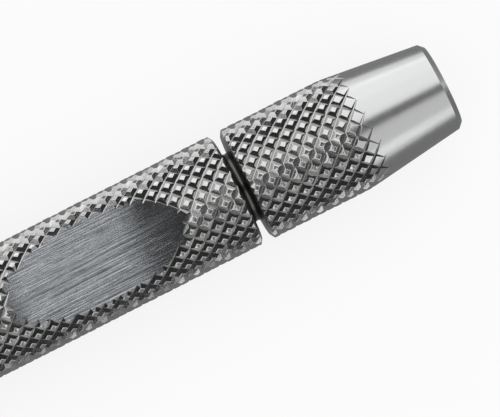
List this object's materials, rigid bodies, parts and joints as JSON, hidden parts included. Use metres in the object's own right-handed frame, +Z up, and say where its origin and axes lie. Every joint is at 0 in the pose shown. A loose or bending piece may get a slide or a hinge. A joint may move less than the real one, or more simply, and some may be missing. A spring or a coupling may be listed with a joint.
{
  "type": "threaded wire handle",
  "caption": "Slim knurled steel instrument handle with a tapered nose, a finger scoop, a narrow groove and a tapped socket for a wire.",
  "frame": {"origin": "centre of the nose's end face, on the handle's axis", "axes": "+X along the handle's axis, out of the nose, where the wire screws in; +Z up, the way the finger scoop faces as the handle lies on its back; Y across"},
  "size_m": [0.11, 0.0084, 0.0084],
  "materials": {
    "steel": "satin stainless steel, turned and knurled, with a ground scoop"
  },
  "bodies": {
    "root": {"handle": "steel"}
  },
  "joints": []
}
